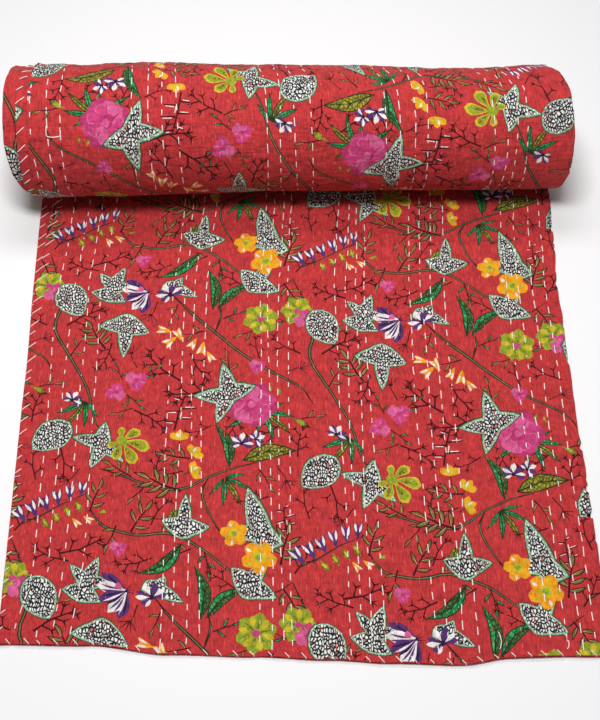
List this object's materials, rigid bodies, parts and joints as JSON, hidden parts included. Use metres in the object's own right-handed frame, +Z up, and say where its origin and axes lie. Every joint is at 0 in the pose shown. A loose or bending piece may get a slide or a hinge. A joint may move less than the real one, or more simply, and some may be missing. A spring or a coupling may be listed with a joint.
{
  "type": "kantha quilt, folded lengthwise and rolled",
  "caption": "Printed cotton kantha quilt, hand quilted in running stitch, folded in half and rolled from its far end, with the last stretch lying flat",
  "frame": {"origin": "the middle of the quilt's box, on the surface that it lies on", "axes": "+Z up from the surface, +Y from the free end towards the roll, +X from the open edges towards the lengthwise fold"},
  "size_m": [0.8078, 0.8694, 0.1984],
  "materials": {
    "printed_cotton": "matt block-printed cotton with white and red hand stitching"
  },
  "bodies": {
    "root": {"quilt": "printed_cotton"}
  },
  "joints": []
}
